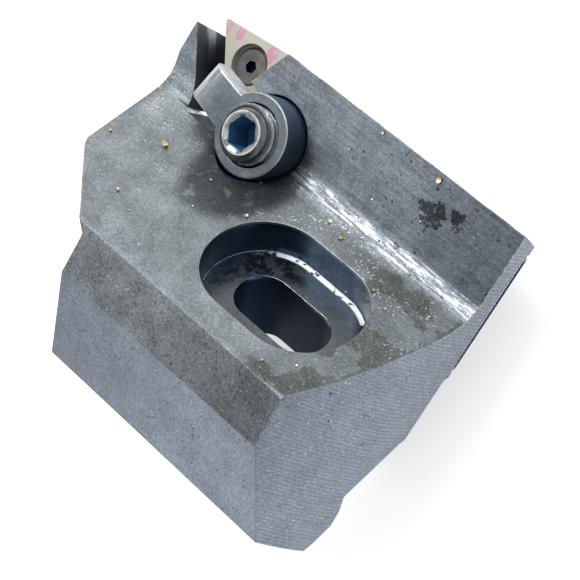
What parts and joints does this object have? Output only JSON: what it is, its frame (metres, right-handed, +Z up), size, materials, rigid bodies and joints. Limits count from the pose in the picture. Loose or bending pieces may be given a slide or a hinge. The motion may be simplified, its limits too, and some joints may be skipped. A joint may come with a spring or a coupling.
{
  "type": "quick change cutting tool cartridge",
  "caption": "Wedge-shaped steel tool block with serrated base, oblong bolt slot, triangular insert in an end pocket, finger clamp and clamp screw.",
  "frame": {"origin": "on the serrated base, in the plain land between the serrations and the rib's outer side, halfway along the base", "axes": "+X towards the insert end, +Y towards the thick upright back, +Z up out of the base"},
  "size_m": [0.0699, 0.0585, 0.042],
  "materials": {
    "black_steel": "black oxide, oily",
    "clamp_steel": "black oxide, satin",
    "screw_steel": "oiled, worn",
    "carbide": "matt",
    "insert_carbide": "ground, matt"
  },
  "bodies": {
    "holder": {"holder_body": "black_steel", "seat": "carbide", "insert": "insert_carbide"},
    "insert_screw": {"insert_screw": "screw_steel"},
    "clamp": {"clamp": "clamp_steel"},
    "clamp_screw": {"clamp_screw": "screw_steel"}
  },
  "joints": [
    {"name": "clamp_lift", "type": "slide", "parent": "holder", "child": "clamp", "axis": [0, 0, 1], "range_m": [-0.0053, 0.001]},
    {"name": "clamp_screw_turn", "type": "hinge", "parent": "clamp", "child": "clamp_screw", "pos_m": [0.0275, 0.01095, 0], "axis": [0, 0, 1], "range_deg": [-637, 121]},
    {"name": "insert_screw_turn", "type": "hinge", "parent": "holder", "child": "insert_screw", "pos_m": [0.0409, 0.00465, 0], "axis": [0, 0, 1], "range_deg": [0, 1080]}
  ],
  "couplings": [
    {"joint": "clamp_screw_turn", "follows": "clamp_lift", "rad_per_m": 2094.4}
  ]
}
